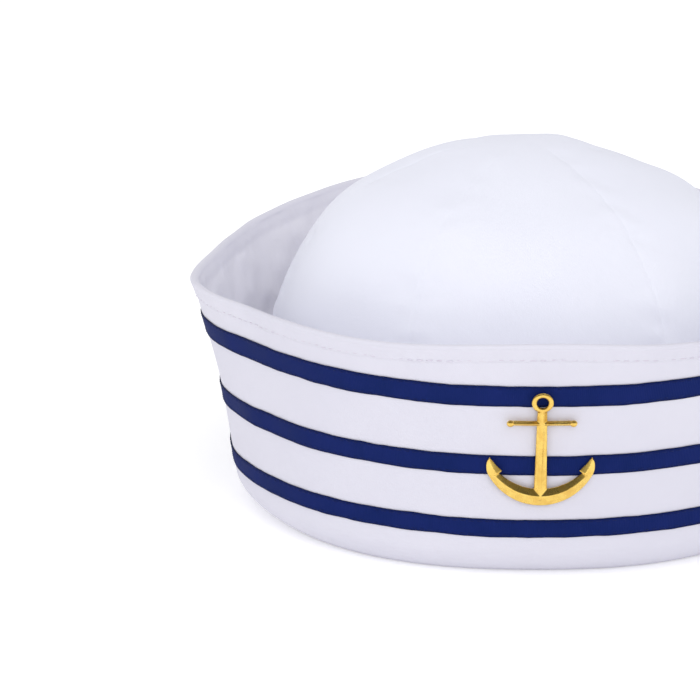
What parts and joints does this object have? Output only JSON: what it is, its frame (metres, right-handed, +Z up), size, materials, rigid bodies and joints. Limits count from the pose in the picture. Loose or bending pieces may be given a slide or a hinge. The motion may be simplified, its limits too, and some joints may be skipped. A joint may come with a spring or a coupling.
{
  "type": "sailor cap",
  "caption": "Soft domed white cap in a tall upturned brim with a hemmed rim, navy ribbons sewn round the brim and a gold anchor at the front.",
  "frame": {"origin": "on the surface that the cap rests on, under the middle of the whole cap's box", "axes": "+Z up, the front with the anchor towards -Y, the wearer's right side towards -X"},
  "size_m": [0.2376, 0.254, 0.1268],
  "materials": {
    "cotton": "matt white cotton twill",
    "ribbon": "navy ribbed ribbon with a soft sheen",
    "gold": "polished gold-coloured cast metal"
  },
  "bodies": {
    "root": {"crown": "cotton", "brim": "cotton", "ribbon_upper": "ribbon", "ribbon_middle": "ribbon", "ribbon_lower": "ribbon", "anchor": "gold"}
  },
  "joints": []
}
